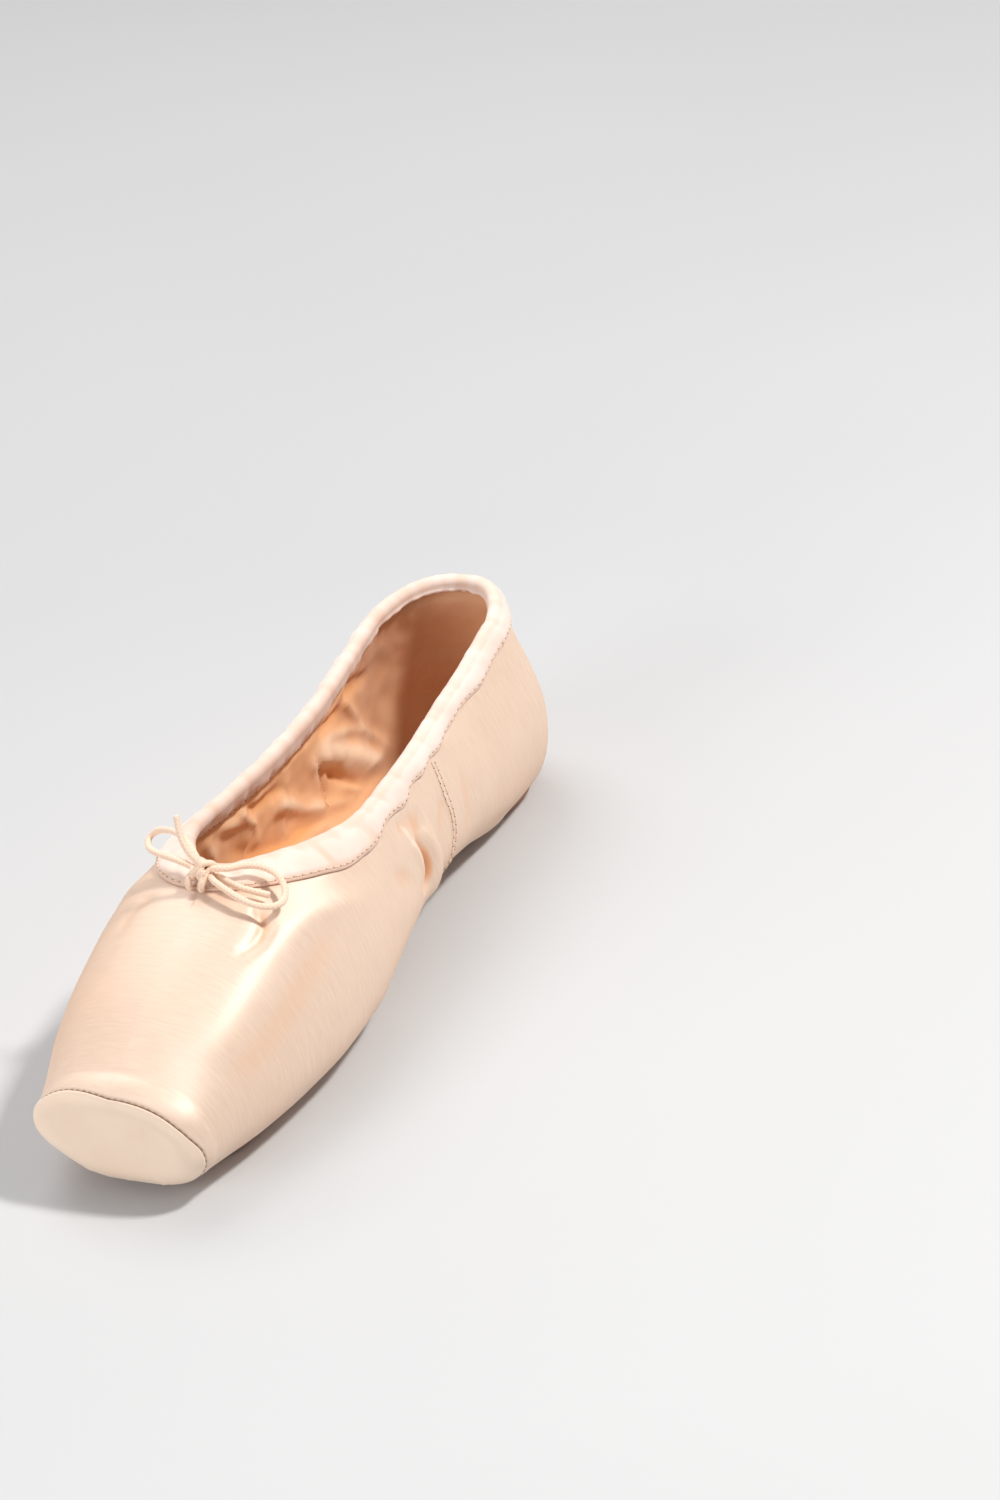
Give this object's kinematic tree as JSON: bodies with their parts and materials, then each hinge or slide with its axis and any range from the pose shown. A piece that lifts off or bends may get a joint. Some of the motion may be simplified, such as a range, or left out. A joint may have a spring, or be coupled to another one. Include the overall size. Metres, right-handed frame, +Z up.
{
  "type": "ballet pointe shoe",
  "caption": "Split-sole ballet pointe shoe with a stiff box, flat platform, satin upper, drawstring collar casing and leather soles.",
  "frame": {"origin": "middle of the shoe's length and width, on the surface that its soles stand on", "axes": "+X to the toe, +Y to the shoe's left side, +Z up"},
  "size_m": [0.2391, 0.0728, 0.0739],
  "materials": {
    "satin": "pale peach satin",
    "panel_cloth": "matt peach cloth",
    "casing_tape": "matt pale cotton tape",
    "sole_leather": "matt tan sole leather",
    "insole_cloth": "matt cotton",
    "cord_cotton": "braided cotton"
  },
  "bodies": {
    "root": {"upper": "satin", "tip_cap": "panel_cloth", "collar_casing": "casing_tape", "back_strap": "satin", "outsole_forepart": "sole_leather", "heel_patch": "sole_leather", "insole": "insole_cloth", "drawstring_knot": "cord_cotton", "drawstring_loop_left": "cord_cotton", "drawstring_loop_right": "cord_cotton", "drawstring_end_up": "cord_cotton", "drawstring_end_side": "cord_cotton"}
  },
  "joints": []
}
